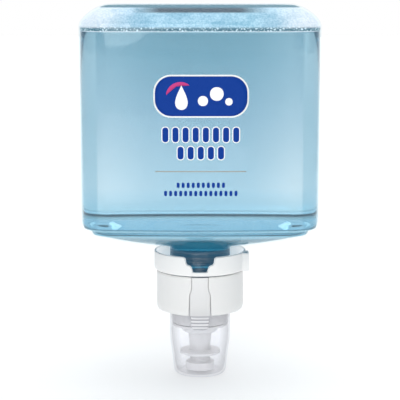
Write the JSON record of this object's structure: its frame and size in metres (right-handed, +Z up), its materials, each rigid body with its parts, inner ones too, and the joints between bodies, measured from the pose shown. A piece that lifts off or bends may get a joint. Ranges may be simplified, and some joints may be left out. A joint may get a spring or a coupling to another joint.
{
  "type": "hand soap refill pack",
  "caption": "Inverted clear bottle of liquid soap with a froth head, white lock ring and screw collar, foam pump with drive flange, and a clear dust cap it stands on.",
  "frame": {"origin": "on the floor under the centre of the dust cap, which is the bottom centre of the bounding box", "axes": "+Z up along the axis of the neck and pump, +X to the pack's right side with the key, -Y towards the printed front"},
  "size_m": [0.13, 0.088, 0.204],
  "materials": {
    "clear_pet": "blown clear PET, glossy",
    "soap_liquid": "clear blue liquid",
    "soap_foam": "pale froth",
    "white_pp": "white moulded polypropylene, satin",
    "natural_pp": "natural polypropylene, slightly cloudy",
    "clear_pp": "clear moulded polypropylene",
    "soft_seal": "soft sealing elastomer and fine mesh",
    "steel_ball": "bright ball"
  },
  "bodies": {
    "pack": {"bottle": "clear_pet", "soap_liquid": "soap_liquid", "soap_foam": "soap_foam", "neck_gasket": "soft_seal", "lock_ring": "white_pp", "collar": "white_pp", "pump_housing": "natural_pp", "housing_base": "natural_pp", "inlet_valve": "soft_seal"},
    "tab": {"release_tab": "white_pp"},
    "piston": {"drive_stem": "natural_pp", "nozzle_tip": "natural_pp", "air_piston": "natural_pp", "air_valve": "soft_seal", "liquid_piston": "natural_pp", "piston_seal": "soft_seal", "outlet_ball": "steel_ball", "mixing_insert": "natural_pp", "foam_cartridge": "natural_pp", "upper_screen": "soft_seal", "lower_screen": "soft_seal"},
    "cap": {"dust_cap": "clear_pp"}
  },
  "joints": [
    {"name": "pump_stroke", "type": "slide", "parent": "pack", "child": "piston", "axis": [0, 0, 1], "range_m": [0, 0.008]},
    {"name": "dust_cap_pull", "type": "slide", "parent": "pack", "child": "cap", "axis": [0, 0, -1], "range_m": [0, 0.042]},
    {"name": "release_tab_press", "type": "hinge", "parent": "pack", "child": "tab", "pos_m": [0, -0.0231, 0.0556], "axis": [1, 0, 0], "range_deg": [0, 4], "stiffness_Nm_per_rad": 0.05}
  ]
}
